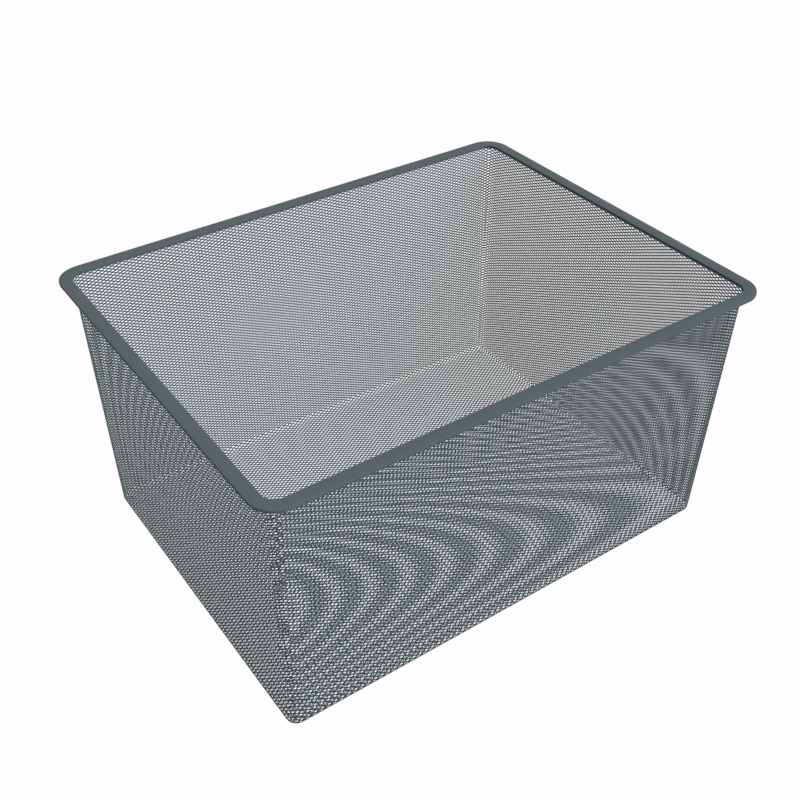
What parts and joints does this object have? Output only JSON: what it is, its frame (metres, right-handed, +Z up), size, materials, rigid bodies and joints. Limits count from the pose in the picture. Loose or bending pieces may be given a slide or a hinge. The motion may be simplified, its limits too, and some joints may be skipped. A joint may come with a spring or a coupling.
{
  "type": "pull-out mesh basket",
  "caption": "Deep rectangular pull-out basket of expanded steel mesh with rounded corners, hung from a flat steel rim that slides on runners.",
  "frame": {"origin": "middle of the base, on the surface that the basket stands on", "axes": "+X along the long side, +Y across to the rear long side, +Z up out of the open top"},
  "size_m": [0.54, 0.414, 0.2826],
  "materials": {
    "rim_coat": "satin grey powder coat",
    "side_mesh_coat": "satin grey powder coat",
    "floor_mesh_coat": "satin grey powder coat"
  },
  "bodies": {
    "root": {"rim_frame": "rim_coat", "side_mesh_front": "side_mesh_coat", "side_mesh_right": "side_mesh_coat", "side_mesh_rear": "side_mesh_coat", "side_mesh_left": "side_mesh_coat", "corner_mesh_front_right": "side_mesh_coat", "corner_mesh_rear_right": "side_mesh_coat", "corner_mesh_rear_left": "side_mesh_coat", "corner_mesh_front_left": "side_mesh_coat", "floor_mesh": "floor_mesh_coat", "floor_edge_right": "floor_mesh_coat", "floor_edge_rear": "floor_mesh_coat", "floor_edge_left": "floor_mesh_coat", "floor_edge_front": "floor_mesh_coat", "floor_corner_rear_right": "floor_mesh_coat", "floor_corner_rear_left": "floor_mesh_coat", "floor_corner_front_left": "floor_mesh_coat", "floor_corner_front_right": "floor_mesh_coat"}
  },
  "joints": []
}
